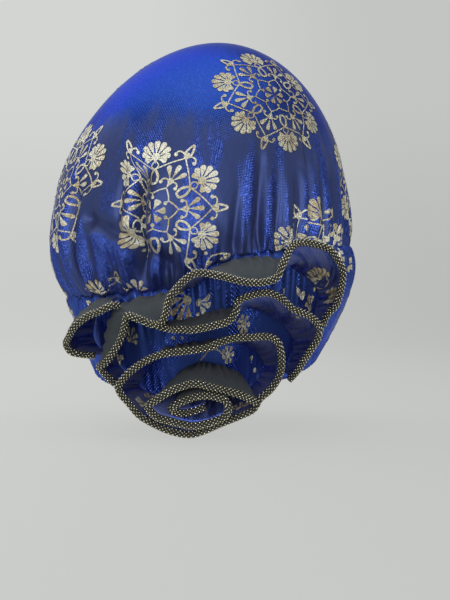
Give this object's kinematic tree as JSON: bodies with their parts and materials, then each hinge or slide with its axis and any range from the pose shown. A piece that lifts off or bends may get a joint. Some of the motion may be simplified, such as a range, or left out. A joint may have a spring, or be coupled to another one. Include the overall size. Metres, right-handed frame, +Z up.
{
  "type": "turban",
  "caption": "Puffy domed turban of printed metallic cloth, gathered on to a head band, with a rosette of edged ruffles low at the back.",
  "frame": {"origin": "middle of the head opening, on the wearer's centre line, where the turban sits on a head", "axes": "+Z up along the wearer's head, the forehead faces -Y, the rosette is at +Y, the wearer's left is +X"},
  "size_m": [0.228, 0.2634, 0.2626],
  "materials": {
    "printed_cloth": "shimmering knit with gold foil medallions",
    "ruffle_cloth": "printed face towards the rosette's centre, dark plain back",
    "gold_braid": "black braid with gold beads"
  },
  "bodies": {
    "root": {"crown": "printed_cloth", "head_band": "printed_cloth", "side_ruffle": "ruffle_cloth", "upper_ruffle": "ruffle_cloth", "middle_ruffle": "ruffle_cloth", "lower_ruffle": "ruffle_cloth", "centre_ruffle": "ruffle_cloth", "side_ruffle_trim": "gold_braid", "upper_ruffle_trim": "gold_braid", "middle_ruffle_trim": "gold_braid", "lower_ruffle_trim": "gold_braid", "centre_ruffle_trim": "gold_braid"}
  },
  "joints": []
}
